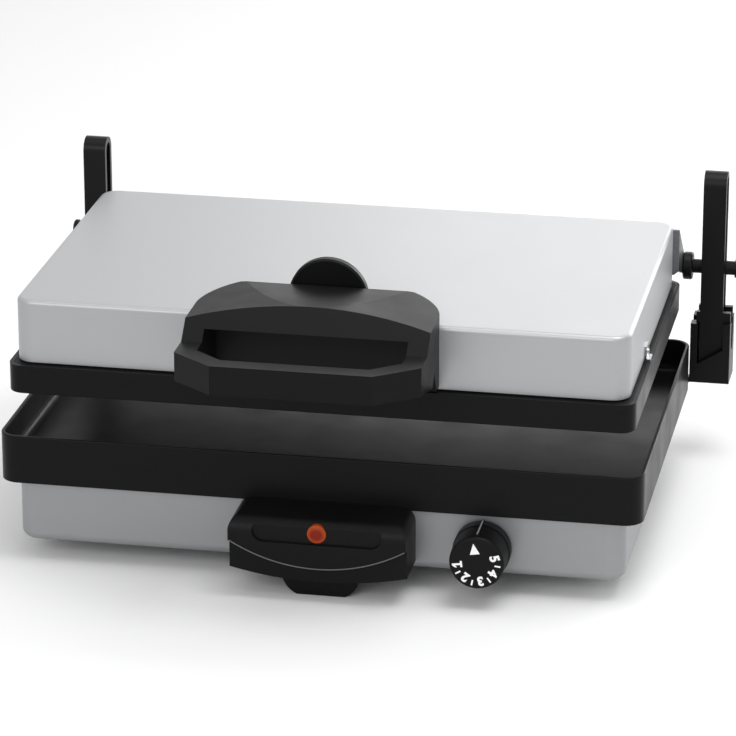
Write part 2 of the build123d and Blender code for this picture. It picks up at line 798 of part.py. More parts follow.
# Gasket frame between plate and cover, which closes the dark joint line
with BuildPart() as lid_frame:
    with BuildSketch(Plane.XY.offset(plate_top)):
        with Locations((0, plate_mid)):
            RectangleRounded(
                cover_width - 2 * sheet, cover_depth - 2 * sheet, cover_corner - sheet
            )
            RectangleRounded(
                cover_width - 2 * frame_ring, cover_depth - 2 * frame_ring, cover_corner / 2,
                mode=Mode.SUBTRACT,
            )
    extrude(amount=cover_lift)
    with BuildSketch(Plane.XY.offset(plate_top)):
        with Locations((0, plate_mid)):
            RectangleRounded(
                plate_width - 2 * plate_wall, plate_depth - 2 * plate_wall,
                plate_corner - plate_wall,
            )
            RectangleRounded(
                cover_width - 2 * frame_ring, cover_depth - 2 * frame_ring, cover_corner / 2,
                mode=Mode.SUBTRACT,
            )
    extrude(amount=-sheet)
finish(lid_frame.part, "lid_frame")

# Upper heating: element on the back of the plate, clamps and reflector
heater_shift = Pos(0, plate_mid - shell_mid, 0)
finish(heater_shift * heater(face_back + heater_diameter / 2), "upper_heater")
finish(heater_shift * clamps(face_back + heater_diameter, 1), "upper_heater_clamps")
upper_screen_z = face_back + heater_diameter + clamp_sheet + screw_head_height + reflector_gap
with BuildPart() as upper_reflector:
    add(heater_shift * reflector(upper_screen_z, False))
    split(bisect_by=Plane.XY.offset(face_back), keep=Keep.TOP)
finish(upper_reflector.part, "upper_reflector")

# Lead gland in the rear wall of the lid
with BuildPart() as lid_gland:
    gland_z = cover_bottom + cover_height / 2
    with BuildSketch(Plane.XZ.offset(-cover_rear)):
        with Locations((0, gland_z)):
            Circle(gland_flange / 2)
            Circle(gland_bore / 2, mode=Mode.SUBTRACT)
    extrude(amount=-gland_length / 4)
    with BuildSketch(Plane.XZ.offset(-cover_rear)):
        with Locations((0, gland_z)):
            Circle(gland_diameter / 2)
            Circle(gland_bore / 2, mode=Mode.SUBTRACT)
    extrude(amount=gland_length / 4)
finish(lid_gland.part, "lid_gland")

# Lid handle: a hood over the edge of the lid, two slanted cheeks and a bevelled grip bar
half = handle_width / 2
grip_low = cover_top - grip_top_drop - grip_height
grip_high = cover_top - grip_top_drop
handle_low = cover_top - handle_drop
grip_y = cover_front - handle_reach
cheek_y = grip_y + bevel_depth
crest_y = cover_front - hood_front
crest_z = cover_top + hood_front_rise
gap_top = crest_z - hood_arch - hood_thickness
with BuildPart() as lid_handle:
    with BuildSketch(Plane.YZ) as handle_side:
        with BuildLine():
            Polyline(
                (cover_front, handle_low),
                (cover_front, cover_top + seat_gap),
                (cover_front + hood_over, cover_top + seat_gap),
                (cover_front + hood_over, cover_top + hood_rise - hood_round),
                (cover_front + hood_over - hood_round, cover_top + hood_rise),
                (crest_y, crest_z),
                (crest_y - hood_slope, grip_high),
                (cheek_y, grip_high),
                (cheek_y, grip_low),
                (cover_front - notch_width * 3.4, grip_low - notch_depth),
                (cover_front - notch_width * 2.6, grip_low),
                (cover_front - notch_width * 1.4, handle_low),
                close=True,
            )
        make_face()
    extrude(amount=half, both=True)
    with BuildSketch(Plane.XY.offset(handle_low)) as hood_plan:
        with BuildLine():
            back_y = cover_front + hood_over
            Line((-half, cheek_y), (half, cheek_y))
            Line((half, cheek_y), (half, cover_front))
            ThreePointArc(
                (half, cover_front),
                (half - hood_side / 2, (cover_front + back_y) / 2),
                (half - hood_corner, back_y),
            )
            Line((half - hood_corner, back_y), (hood_corner - half, back_y))
            ThreePointArc(
                (hood_corner - half, back_y),
                (hood_side / 2 - half, (cover_front + back_y) / 2),
                (-half, cover_front),
            )
            Line((-half, cover_front), (-half, cheek_y))
        make_face()
    extrude(amount=2 * handle_drop, mode=Mode.INTERSECT)
    with BuildSketch(Plane.XZ) as hood_arc:
        with BuildLine():
            shoulder = crest_z - hood_arch
            Polyline((-half, shoulder), (-half, handle_low), (half, handle_low), (half, shoulder))
            ThreePointArc((half, shoulder), (0, crest_z), (-half, shoulder))
        make_face()
    extrude(amount=tray_depth, both=True, mode=Mode.INTERSECT)
    with BuildSketch(Plane.YZ) as hand_gap:
        with BuildLine():
            Polyline(
                (cover_front - handle_back, handle_low - hand_gap_lip),
                (cover_front - handle_back, gap_top),
                (grip_y, gap_top),
                (grip_y, handle_low - hand_gap_lip),
                close=True,
            )
        make_face()
    extrude(amount=half - post_width, both=True, mode=Mode.SUBTRACT)
    with BuildSketch(Plane.XY.offset(grip_low)) as grip_plan:
        with BuildLine():
            bar = half - bevel_length
            Polyline(
                (-half, cheek_y),
                (-bar, grip_y),
                (bar, grip_y),
                (half, cheek_y),
                (half - post_width, cheek_y + grip_depth / 2),
                (bar - grip_depth / 3, grip_y + grip_depth),
                (grip_depth / 3 - bar, grip_y + grip_depth),
                (post_width - half, cheek_y + grip_depth / 2),
                close=True,
            )
        make_face()
    extrude(amount=grip_height)
finish(lid_handle.part, "lid_handle")

# Lid foot: a half round tab behind the hood, on which the lid rests when it lies open
with BuildPart() as lid_foot:
    with BuildSketch(Plane.XZ.offset(-(cover_front + hood_over))):
        with Locations((0, cover_top + foot_rise - foot_radius)):
            Circle(foot_radius)
        with Locations((0, cover_top)):
            Rectangle(2 * foot_radius, foot_rise - foot_radius, align=(Align.CENTER, Align.MIN))
        with Locations((0, cover_top)):
            Rectangle(
                3 * foot_radius, foot_radius, align=(Align.CENTER, Align.MAX), mode=Mode.SUBTRACT
            )
    extrude(amount=-lid_foot_thickness)
    chamfer(lid_foot.edges().filter_by(GeomType.CIRCLE), foot_chamfer)
finish(lid_foot.part, "lid_foot")

# Hinge bracket: a sheet on the rear wall of the lid with an outward tab that holds the stud
bracket_inner = cover_width / 2 - cover_corner - bracket_width
def bracket_at(arm_x):
    """One bracket whose tab ends beside the collar of the stud."""
    tab_outer = arm_x - outer_half - collar_gap - collar_length
    with BuildPart() as bracket:
        with BuildSketch(Plane.XZ.offset(-cover_rear)):
            with BuildLine():
                Polyline(
                    (bracket_inner, cover_bottom + bracket_low),
                    (bracket_inner, cover_top - bracket_high),
                    (tab_outer, cover_top - bracket_high),
                    (tab_outer, stud_z + bracket_tab / 2),
                    (cover_width / 2, cover_bottom + bracket_low),
                    close=True,
                )
            make_face()
        extrude(amount=-bracket_sheet)
        with BuildSketch(Plane.YZ.offset(tab_outer - bracket_sheet)):
            with BuildLine():
                Polyline(
                    (cover_rear, stud_z + bracket_tab / 2),
                    (cover_rear, cover_top - bracket_high),
                    (slot_y, stud_z + bracket_tab * 0.8),
                    (slot_y + bracket_tab / 2, stud_z),
                    (slot_y, stud_z - bracket_tab / 2),
                    close=True,
                )
            make_face()
        extrude(amount=bracket_sheet)
        with BuildSketch(Plane.YZ.offset(tab_outer - bracket_sheet)):
            with Locations((slot_y, stud_z)):
                Circle(pin_diameter / 2 + stud_head)
        extrude(amount=bracket_sheet)
        with BuildSketch(Plane.YZ.offset(tab_outer - 2 * bracket_sheet)):
            with Locations((slot_y, stud_z)):
                Circle(pin_diameter / 2)
        extrude(amount=3 * bracket_sheet, mode=Mode.SUBTRACT)
    return bracket.part


finish(bracket_at(arm_right_x), "lid_bracket_right")
finish(other_side(bracket_at(arm_left_x)), "lid_bracket_left")

# Stud: a pin with a wide collar beside the bracket


def stud_at(arm_x):
    """One stud from its bracket to beyond the holder."""
    tab_outer = arm_x - outer_half - collar_gap - collar_length
    pin_end = arm_x + outer_half + bush_cap_gap
    with BuildPart() as stud:
        with BuildSketch(Plane.YZ.offset(tab_outer - bracket_sheet - stud_head)):
            with Locations((slot_y, stud_z)):
                Circle(pin_diameter / 2)
        extrude(amount=pin_end - tab_outer + bracket_sheet + stud_head)
        with BuildSketch(Plane.YZ.offset(tab_outer)):
            with Locations((slot_y, stud_z)):
                Circle(collar_diameter / 2)
        extrude(amount=collar_length)
        chamfer(stud.edges().filter_by(GeomType.CIRCLE).sort_by(SortBy.LENGTH)[-2:], stud_chamfer)
    return stud.part


finish(stud_at(arm_right_x), "stud_right")
finish(other_side(stud_at(arm_left_x)), "stud_left")

# Slot bush: a sleeve that slides in the slot of the arm and turns on the pin


def bush_at(arm_x):
    """One sleeve with its cap."""
    bush_start = arm_x - outer_half - collar_gap + bush_clearance
    pin_end = arm_x + outer_half + bush_cap_gap
    with BuildPart() as bush:
        with BuildSketch(Plane.YZ.offset(bush_start)):
            with Locations((slot_y, stud_z)):
                Circle(bush_diameter / 2)
                Circle(pin_diameter / 2 + running_gap, mode=Mode.SUBTRACT)
        extrude(amount=pin_end - bush_start)
        with BuildSketch(Plane.YZ.offset(pin_end)):
            with Locations((slot_y, stud_z)):
                Circle(bush_cap_diameter / 2)
        extrude(amount=bush_cap_length)
        chamfer(bush.edges().filter_by(GeomType.CIRCLE).group_by(Axis.X)[-1], stud_chamfer)
    return bush.part


finish(bush_at(arm_right_x), "slot_bush_right")
finish(other_side(bush_at(arm_left_x)), "slot_bush_left")

# Plate clip: a bent steel tab with a rivet on each side of the lid
clip_y = plate_front + plate_depth / 3
with BuildPart() as clip:
    with BuildSketch(Plane.XZ.offset(-clip_y)):
        with BuildLine():
            Polyline(
                (cover_width / 2, cover_bottom + clip_height),
                (cover_width / 2 + clip_sheet, cover_bottom + clip_height),
                (cover_width / 2 + clip_sheet, plate_top + clip_sheet + seat_gap),
                (plate_width / 2 - clip_edge, plate_top + clip_sheet + seat_gap),
                (plate_width / 2 - clip_edge, plate_top),
                (cover_width / 2, plate_top),
                close=True,
            )
        make_face()
    extrude(amount=-clip_width)
    with BuildSketch(Plane.YZ.offset(cover_width / 2 + clip_sheet)):
        with Locations((clip_y + clip_width / 2, cover_bottom + clip_height / 2)):
            Circle(rivet_diameter / 2)
    extrude(amount=rivet_height)
with BuildPart() as plate_clips:
    add(clip.part)
    add(other_side(clip.part))
finish(plate_clips.part, "plate_clips")

# Lid screws: heads on the brackets
with BuildPart() as bracket_screws:
    with BuildSketch(Plane.XZ.offset(-(cover_rear + bracket_sheet))):
        for side in (-1, 1):
            for step in (0.25, 0.75):
                with Locations((side * (bracket_inner + bracket_width * step), cover_top - bracket_screw_drop)):
                    Circle(screw_head / 2)
    extrude(amount=-screw_head_height)
    chamfer(bracket_screws.edges().filter_by(GeomType.CIRCLE).group_by(Axis.Y)[-1], screw_chamfer)
finish(bracket_screws.part, "bracket_screws")
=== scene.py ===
import bpy
import math
import numpy as np
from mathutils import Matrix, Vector


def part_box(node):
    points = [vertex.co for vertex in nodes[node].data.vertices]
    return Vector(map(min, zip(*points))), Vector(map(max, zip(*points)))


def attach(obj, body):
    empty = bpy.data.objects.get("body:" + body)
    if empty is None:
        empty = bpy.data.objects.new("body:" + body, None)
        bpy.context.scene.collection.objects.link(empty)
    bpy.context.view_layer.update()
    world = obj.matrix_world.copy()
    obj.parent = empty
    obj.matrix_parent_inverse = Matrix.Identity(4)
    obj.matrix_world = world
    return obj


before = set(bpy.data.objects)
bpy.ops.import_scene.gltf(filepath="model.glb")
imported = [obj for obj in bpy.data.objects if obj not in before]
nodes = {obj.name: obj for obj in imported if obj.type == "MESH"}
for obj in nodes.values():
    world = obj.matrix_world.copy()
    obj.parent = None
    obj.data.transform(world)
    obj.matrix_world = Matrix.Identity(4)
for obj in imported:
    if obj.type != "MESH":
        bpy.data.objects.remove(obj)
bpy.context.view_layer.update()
print("CAD loaded", len(nodes), "nodes")

mm = 0.001

# What a user would change
camera = {
    "place": (0.49498, -2.55695, 1.06647),   # metres
    "azimuth": 10.781,                       # degrees to the right of straight ahead
    "elevation": 20.128,                     # degrees that it looks down
    "focalPixels": 4106.82,
    "sensor": 36.0,                          # millimetres
    "picture": 736,                          # pixels across
    "nearest": 0.05,
    "farthest": 60,
}
colours = {
    "silver": "#A9AAAC",
    # the lid's silver, darkened as painted shade for the base under the tray
    "silverPaintedShade": "#939496",
    "coating": "#121213",
    "plastic": "#0E0E0F",
    "armPaint": "#0E0E0F",
    "steel": "#C4C5C7",
    "zinc": "#7E7F82",
    "rubber": "#141414",
    "print": "#FAFAF8",
    # lighter grey of the painted highlight beads on the phenolic edges
    "highlighted": "#5A5A5C",
    "line": "#8A8A8C",
    "lens": "#A8430F",
    "lensCore": "#7E1A02",
    "floor": "#FDFDFD",
    "gasket": "#101011",
    "cream": "#D8D5C8",
}
noise = {
    "low": 0.3,             # the band that the noise seldom leaves
    "high": 0.7,
    "fineDetail": 3.0,
    "broadScale": 30,       # features per metre
    "broadDetail": 2.0,
}
lens = {
    "coreRadius": 3.2 * mm,
    "rimRadius": 5.6 * mm,
    "roughness": 0.4,
    "ior": 1.49,
    "specular": 0.2,
}
dial = {
    "axisHeight": 19.0 * mm,    # above the lowest point of the knob
    "figures": 5,
    "radius": 12.7 * mm,
    "digitHeight": 6.7 * mm,
    "digitStroke": 0.45 * mm,   # added all round each figure
    "fontShare": 0.7,           # height of a figure in the built-in font of size 1
    "firstAngle": 187.0,        # degrees anticlockwise from the right
    "step": 48.0,
    "dashRadius": 14.0 * mm,
    "dashLength": 3.9 * mm,
    "dashWidth": 1.1 * mm,
    "pointerRadius": 9.4 * mm,
    "pointerAngle": 99.0,
    "pointerWidth": 6.6 * mm,
    "pointerHeight": 7.6 * mm,
    "pointerInside": 0.42,      # share of the pointer's height that lies inside its radius
    "thickness": 0.03 * mm,
}
oneShape = {
    "stroke": 0.2,              # shares of the figure's height
    "foot": 0.32,
    "flagTop": 1.3,             # strokes below the figure's top
    "flagRoot": 1.5,
    "flagLow": 2.4,
}
# the bead of painted highlight along the lower edge of the moulding's nose
noseLine = {
    "low": 24.0 * mm,
    "rise": 17.0 * mm,
    "slope": 1.5 * mm,     # the front leans back by this much
    "fall": 33.0 * mm,     # over this height
    "reach": 22.0 * mm,    # height above the low where the lean is nought
    "share": 0.985,        # of the moulding's half width
    "points": 60,
    "radius": 0.4 * mm,
}
knobLine = {
    "width": 1.0 * mm,
    "margin": 0.6 * mm,
    "sunk": 0.01 * mm,
    "thickness": 0.03 * mm,
    "topBand": 0.05 * mm,  # points this close to the top are the rib's top
}
# the bead of painted highlight along the lower edge of the grip bar
gripLine = {
    "bevelDepth": 21.4 * mm,
    "inset": 0.37 * mm,
    "lift": 0.37 * mm,
    "frontBand": 1.5 * mm,  # points this close to the front are the bar's front
    "radius": 0.35 * mm,
}
bevels = {
    "lid_handle": (0.9 * mm, 3),
    "lower_handle": (1.2 * mm, 4),
    "front_foot": (0.8 * mm, 3),
    "arm_right": (0.8 * mm, 3),
    "arm_left": (0.8 * mm, 3),
    "hinge_holder_right": (0.6 * mm, 2),
    "hinge_holder_left": (0.6 * mm, 2),
    "knob": (0.4 * mm, 2),
    "plate_clips": (0.3 * mm, 2),
    "lid_bracket_right": (0.3 * mm, 2),
    "lid_bracket_left": (0.3 * mm, 2),
    "lid_gland": (0.4 * mm, 2),
    "mains_gland": (0.4 * mm, 2),
}
sharpEdge = 35    # degrees, edges that turn more than this are rounded
studio = {
    "floorHalf": 12,
    "floorRoughness": 0.9,
    "ambient": 0.5,         # strength of the white that lights the object
    "white": 1.0,           # strength of the white that the camera and reflections see
}
softBoxes = {
    "key softbox": {"place": (0.42, -0.05, 1.3), "target": (0.1, 0, 0.18),
                    "width": 0.7, "height": 0.7, "power": 6.2},
    "back panel": {"place": (0.9, 2.9, 1.25), "target": (0, 0, 0.1),
                   "width": 3.4, "height": 1.7, "power": 28},
    "top softbox": {"place": (0.2, -0.2, 2.4), "target": (0, 0, 0.1),
                    "width": 2.2, "height": 2.2, "power": 15},
    "front fill": {"place": (-0.6, -2.8, 1.6), "target": (0, 0, 0.1),
                   "width": 2.0, "height": 1.4, "power": 25},
    "low side panel": {"place": (0.7, 1.5, 0.32), "target": (0.21, 0, 0.07),
                       "width": 0.9, "height": 0.6, "power": 6},
}


def linearColour(text):
    # each channel from its sRGB value to linear light
    channels = [int(text[i:i + 2], 16) / 255 for i in (1, 3, 5)]
    return [c / 12.92 if c <= 0.04045 else ((c + 0.055) / 1.055) ** 2.4 for c in channels] + [1.0]


def addNode(tree, kind, settings=None, links=None):
    # one shader node, with its settings and its incoming links
    made = tree.nodes.new(kind)
    for name, value in (settings or {}).items():
        if name in made.inputs:
            made.inputs[name].default_value = value
        else:
            setattr(made, name, value)
    for name, source in (links or {}).items():
        tree.links.new(source, made.inputs[name])
    return made


def newMaterial(name):
    material = bpy.data.materials.new(name)
    material.use_nodes = True
    tree = material.node_tree
    tree.nodes.clear()
    output = tree.nodes.new("ShaderNodeOutputMaterial")
    return material, tree, output


def grain(tree, scale, detail):
    # noise in object space, scale in features per metre
    place = addNode(tree, "ShaderNodeTexCoord")
    return addNode(tree, "ShaderNodeTexNoise", {"Scale": scale, "Detail": detail},
                   {"Vector": place.outputs["Object"]})


def spread(tree, source, low, high):
    # the band of the noise stretched to a narrow range of values
    return addNode(tree, "ShaderNodeMapRange",
                   {"From Min": noise["low"], "From Max": noise["high"],
                    "To Min": low, "To Max": high},
                   {"Value": source})


def mottled(tree, source, colour, amount):
    # the base colour, a little darker and lighter from place to place
    base = linearColour(colour)[:3]
    ramp = addNode(tree, "ShaderNodeValToRGB", links={"Fac": source})
    dark, light = ramp.color_ramp.elements
    dark.position = noise["low"]
    light.position = noise["high"]
    dark.color = [c * (1 - amount) for c in base] + [1]
    light.color = [min(1, c * (1 + amount)) for c in base] + [1]
    return ramp.outputs["Color"]


def surface(name, colour, roughness, grainSize, grainDepth, mottle, roughSpread,
            metallic=0.0, specular=0.5, ior=None):
    # grainSize and grainDepth in millimetres, metal keeps the shader's own index of refraction
    material, tree, output = newMaterial(name)
    fine = grain(tree, 1 / (grainSize * mm), noise["fineDetail"])
    broad = grain(tree, noise["broadScale"], noise["broadDetail"])
    rough = spread(tree, broad.outputs["Fac"], roughness - roughSpread, roughness + roughSpread)
    bump = addNode(tree, "ShaderNodeBump", {"Strength": 1.0, "Distance": grainDepth * mm},
                   {"Height": fine.outputs["Fac"]})
    shader = addNode(tree, "ShaderNodeBsdfPrincipled",
                     {"Metallic": metallic, "Specular IOR Level": specular},
                     {"Base Color": mottled(tree, fine.outputs["Fac"], colour, mottle),
                      "Roughness": rough.outputs["Result"], "Normal": bump.outputs["Normal"]})
    if ior:
        shader.inputs["IOR"].default_value = ior
    tree.links.new(shader.outputs["BSDF"], output.inputs["Surface"])
    return material


# Light silver paint with fine metal flakes, a wide soft sheen and no mirror image
silverPaint = surface("silver paint with metal flakes", colours["silver"], 0.40,
                      grainSize=0.35, grainDepth=0.0025, mottle=0.04, roughSpread=0.008,
                      metallic=0.5)
# The same paint on the base, darker: painted shade for the shadow cast by the tray's overhang
shadedBasePaint = surface("silver paint of the base darkened as painted shade", colours["silverPaintedShade"], 0.40,
                    grainSize=0.35, grainDepth=0.0025, mottle=0.04, roughSpread=0.008,
                    metallic=0.5)
# Black non-stick coating, satin, with a barely visible orange-peel, light only at a low angle
nonStick = surface("black non-stick coating on cast aluminium", colours["coating"], 0.34,
                   grainSize=1.4, grainDepth=0.006, mottle=0.10, roughSpread=0.05,
                   specular=0.13, ior=1.4)
# Phenolic plastic, matt black with a spark-eroded grain that catches light as fine speckle
phenolic = surface("matt black phenolic plastic", colours["plastic"], 0.42,
                   grainSize=0.55, grainDepth=0.016, mottle=0.25, roughSpread=0.05,
                   specular=0.09, ior=1.6)
# Smooth black paint on the flat steel of the arms, with a soft narrow sheen
armPaint = surface("black powder paint on steel", colours["armPaint"], 0.36,
                   grainSize=0.8, grainDepth=0.012, mottle=0.08, roughSpread=0.04,
                   specular=0.15, ior=1.5)
# Zinc-plated sheet, grey and slightly uneven
plateSteel = surface("zinc-plated steel", colours["zinc"], 0.36,
                     grainSize=1.6, grainDepth=0.003, mottle=0.08, roughSpread=0.06,
                     metallic=1.0)
# Polished steel of rivets and screw heads, with small clear highlights
brightSteel = surface("polished steel", colours["steel"], 0.2,
                      grainSize=0.7, grainDepth=0.001, mottle=0.03, roughSpread=0.04,
                      metallic=1.0)
# Soft black feet, no sheen
rubber = surface("black rubber", colours["rubber"], 0.7,
                 grainSize=0.9, grainDepth=0.02, mottle=0.1, roughSpread=0.06,
                 specular=0.2, ior=1.52)
# Dark silicone strip between the lid and its plate, dull
gasket = surface("black silicone gasket", colours["gasket"], 0.6,
                 grainSize=1.0, grainDepth=0.01, mottle=0.1, roughSpread=0.05,
                 specular=0.2, ior=1.41)
# A lighter grey bead on the rounded lower edges of the phenolic mouldings, painted highlight for
# the light those edges catch
paintedHighlight = surface("painted highlight along phenolic edges", colours["highlighted"], 0.4,
                      grainSize=0.5, grainDepth=0.002, mottle=0.1, roughSpread=0.03,
                      specular=0.4, ior=1.6)
# Flat white ink of the scale
printInk = surface("white printed ink", colours["print"], 0.5,
                   grainSize=0.3, grainDepth=0.002, mottle=0.03, roughSpread=0.04, ior=1.5)
# Grey line along the pointer rib
linePaint = surface("grey printed line", colours["line"], 0.5,
                    grainSize=0.3, grainDepth=0.002, mottle=0.03, roughSpread=0.04, ior=1.5)
# Glazed porcelain of the terminals inside, cream and even
creamPorcelain = surface("cream porcelain", colours["cream"], 0.35,
                         grainSize=1.0, grainDepth=0.004, mottle=0.03, roughSpread=0.04, ior=1.5)


def lensMaterial():
    # Deep orange-red plastic, frosted, darker at the core and lighter towards the rim
    material, tree, output = newMaterial("amber pilot lens")
    place = addNode(tree, "ShaderNodeTexCoord")
    low, high = (Vector(c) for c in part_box("pilot_lens"))
    away = addNode(tree, "ShaderNodeVectorMath", {"operation": "SUBTRACT"},
                   {0: place.outputs["Object"]})
    away.inputs[1].default_value = (low + high) / 2
    # the distance from the lens's own axis, which runs along y
    flat = addNode(tree, "ShaderNodeVectorMath", {"operation": "MULTIPLY"},
                   {0: away.outputs["Vector"]})
    flat.inputs[1].default_value = (1, 0, 1)
    length = addNode(tree, "ShaderNodeVectorMath", {"operation": "LENGTH"},
                     {0: flat.outputs["Vector"]})
    ring = addNode(tree, "ShaderNodeMapRange",
                   {"From Min": lens["coreRadius"], "From Max": lens["rimRadius"],
                    "To Min": 0.0, "To Max": 1.0},
                   {"Value": length.outputs["Value"]})
    ramp = addNode(tree, "ShaderNodeValToRGB", links={"Fac": ring.outputs["Result"]})
    ramp.color_ramp.elements[0].color = linearColour(colours["lensCore"])
    ramp.color_ramp.elements[1].color = linearColour(colours["lens"])
    shader = addNode(tree, "ShaderNodeBsdfPrincipled",
                     {"Roughness": lens["roughness"], "IOR": lens["ior"],
                      "Specular IOR Level": lens["specular"]},
                     {"Base Color": ramp.outputs["Color"]})
    tree.links.new(shader.outputs["BSDF"], output.inputs["Surface"])
    return material


amberLens = lensMaterial()
finishes = {
    silverPaint: ["lid_cover"],
    shadedBasePaint: ["base_shell"],
    nonStick: ["lower_plate", "upper_plate"],
    phenolic: ["lower_handle", "knob", "lid_handle", "lid_foot", "front_foot", "mains_gland",
               "lid_gland", "slot_bush_right", "slot_bush_left"],
    armPaint: ["arm_right", "arm_left", "hinge_holder_right", "hinge_holder_left", "stud_right",
               "stud_left"],
    plateSteel: ["lid_bracket_right", "lid_bracket_left", "bottom_cover", "lower_heater",
                 "lower_heater_clamps", "lower_reflector", "upper_heater", "upper_heater_clamps",
                 "upper_reflector", "thermostat_body", "thermostat_spindle"],
    brightSteel: ["plate_clips", "bracket_screws", "holder_screws", "bottom_screws"],
    rubber: ["rear_feet"],
    gasket: ["lid_frame"],
    amberLens: ["pilot_lens"],
    creamPorcelain: ["terminal_block", "pilot_lamp"],
}
for material, names in finishes.items():
    for name in names:
        for place in nodes[name].material_slots:
            place.material = material
for name, (width, segments) in bevels.items():
    rounding = nodes[name].modifiers.new("edge rounding", "BEVEL")
    rounding.width = width
    rounding.segments = segments
    rounding.limit_method = "ANGLE"
    rounding.angle_limit = math.radians(sharpEdge)
    rounding.use_clamp_overlap = True
    rounding.harden_normals = True
print("materials on", sum(len(v) for v in finishes.values()), "nodes")


def meshPiece(name, points, faces, material, body):
    # a mesh object at the origin that rides on a body
    mesh = bpy.data.meshes.new(name)
    mesh.from_pydata(np.asarray(points, float).tolist(), [], faces)
    mesh.update()
    mesh.materials.append(material)
    piece = bpy.data.objects.new(name, mesh)
    bpy.context.scene.collection.objects.link(piece)
    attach(piece, body)


def meshPoints(mesh):
    # the corner points of a mesh, one in each row
    points = np.empty(len(mesh.vertices) * 3)
    mesh.vertices.foreach_get("co", points)
    return points.reshape(-1, 3)


def slab(outline, thickness):
    # a flat outline (x right, z up) made a closed plate, its back on y = 0
    flat = np.array(outline, float)
    count = len(flat)
    front = np.column_stack((flat[:, 0], np.full(count, -thickness), flat[:, 1]))
    back = np.column_stack((flat[:, 0], np.zeros(count), flat[:, 1]))
    here = np.arange(count)
    beside = (here + 1) % count
    sides = np.column_stack((here, here + count, beside + count, beside)).tolist()
    faces = [here.tolist(), (count + here[::-1]).tolist()] + sides
    return np.vstack((front, back)), faces


def boxMesh(low, high):
    # a closed box between two opposite corners
    side = np.array([(0, 0, 0), (1, 0, 0), (1, 1, 0), (0, 1, 0),
                     (0, 0, 1), (1, 0, 1), (1, 1, 1), (0, 1, 1)])
    faces = [(3, 2, 1, 0), (4, 5, 6, 7), (0, 1, 5, 4), (1, 2, 6, 5), (2, 3, 7, 6), (3, 0, 4, 7)]
    return np.where(side == 1, high, low), faces


def bead(path, radius, sides=10):
    # a round bead along a path of points, closed at both ends
    path = np.asarray(path, float)
    along = np.gradient(path, axis=0)
    along /= np.linalg.norm(along, axis=1)[:, None]
    upright = np.array((0.0, 0.0, 1.0))
    across = np.cross(along, upright)
    across /= np.linalg.norm(across, axis=1)[:, None]
    rise = np.cross(across, along)
    # ring: the radius times the cosine of the turn across, plus its sine upwards, at each point
    turn = np.linspace(0, 2 * math.pi, sides, endpoint=False)
    ring = (np.cos(turn)[None, :, None] * across[:, None, :]
            + np.sin(turn)[None, :, None] * rise[:, None, :]) * radius
    points = (path[:, None, :] + ring).reshape(-1, 3)
    rows, columns = np.meshgrid(np.arange(len(path) - 1), np.arange(sides), indexing="ij")
    here = (rows * sides + columns).ravel()
    beside = (rows * sides + (columns + 1) % sides).ravel()
    faces = np.column_stack((here, here + sides, beside + sides, beside)).tolist()
    first = np.arange(sides)
    last = (len(path) - 1) * sides + first[::-1]
    return points, faces + [first.tolist(), last.tolist()]


def straightPath(corners, count=12):
    # points spread evenly between corners
    parts = [np.linspace(a, b, count, endpoint=False) for a, b in zip(corners[:-1], corners[1:])]
    return np.vstack(parts + [np.array([corners[-1]])])


def digitMesh(character, height):
    # one figure of the built-in font, in the plane x right and z up, brought to its height
    curve = bpy.data.curves.new("digit", "FONT")
    curve.body = character
    curve.size = height / dial["fontShare"]
    curve.offset = dial["digitStroke"]
    curve.extrude = dial["thickness"]
    holder = bpy.data.objects.new("digit", curve)
    bpy.context.scene.collection.objects.link(holder)
    bpy.context.view_layer.update()
    graph = bpy.context.evaluated_depsgraph_get()
    mesh = bpy.data.meshes.new_from_object(holder.evaluated_get(graph))
    points = meshPoints(mesh)
    low, high = points[:, :2].min(axis=0), points[:, :2].max(axis=0)
    points[:, :2] = (points[:, :2] - (low + high) / 2) * height / (high[1] - low[1])
    faces = [list(p.vertices) for p in mesh.polygons]
    bpy.data.objects.remove(holder)
    bpy.data.meshes.remove(mesh)
    return points[:, [0, 2, 1]] * np.array((1, -1, 1)), faces


def figureOne(height):
    # the figure one, with its flag and its foot
    half = height / 2
    stroke = height * oneShape["stroke"]
    foot = height * oneShape["foot"]
    side = stroke / 2
    footTop = -half + stroke
    flagTop = half - stroke * oneShape["flagTop"]
    flagRoot = half - stroke * oneShape["flagRoot"]
    flagLow = half - stroke * oneShape["flagLow"]
    return slab([(-foot, -half), (foot, -half), (foot, footTop), (side, footTop), (side, half),
                 (-side, half), (-foot, flagTop), (-foot, flagLow), (-side, flagRoot),
                 (-side, footTop), (-foot, footTop)], dial["thickness"])


def dashFigure():
    # the short upright bar between two figures
    half = dial["dashLength"] / 2
    wide = dial["dashWidth"] / 2
    return slab([(-wide, -half), (wide, -half), (wide, half), (-wide, half)], dial["thickness"])


def pointerFigure():
    # a triangle with its point outwards
    half = dial["pointerWidth"] / 2
    base = dial["pointerHeight"] * dial["pointerInside"]
    return slab([(-half, -base), (half, -base), (0, dial["pointerHeight"] - base)],
                dial["thickness"])


def turned(points, angle, radius):
    # x and z turned by the lean about y, so that the figure's top points outwards,
    # then moved out along the angle by the radius
    lean = angle - math.pi / 2
    out = points.copy()
    out[:, 0] = points[:, 0] * math.cos(lean) - points[:, 2] * math.sin(lean)
    out[:, 2] = points[:, 0] * math.sin(lean) + points[:, 2] * math.cos(lean)
    return out + radius * np.array((math.cos(angle), 0, math.sin(angle)))


